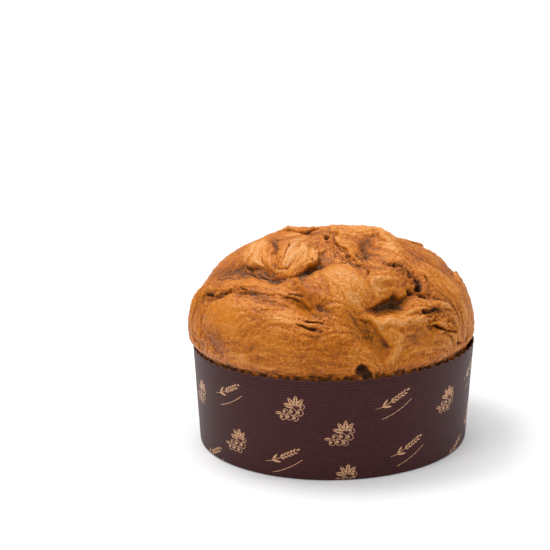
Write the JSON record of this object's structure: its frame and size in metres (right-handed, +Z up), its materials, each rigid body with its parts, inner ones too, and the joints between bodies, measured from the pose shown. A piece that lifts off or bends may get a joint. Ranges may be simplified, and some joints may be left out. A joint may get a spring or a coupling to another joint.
{
  "type": "panettone",
  "caption": "Low domed panettone with a cracked, folded golden-brown crust, standing in its dark fluted paper baking mould with a pinked rim.",
  "frame": {"origin": "centre of the mould's foot, on the surface it stands on", "axes": "+Z up through the crown of the loaf, -Y towards the side shown in the picture, +Y towards the mould's glued lap"},
  "size_m": [0.2179, 0.2195, 0.159],
  "materials": {
    "crust": "satin",
    "printed_paper": "satin",
    "base_paper": "matte"
  },
  "bodies": {
    "root": {"panettone_loaf": "crust", "mould_wall": "printed_paper", "mould_base": "base_paper"}
  },
  "joints": []
}
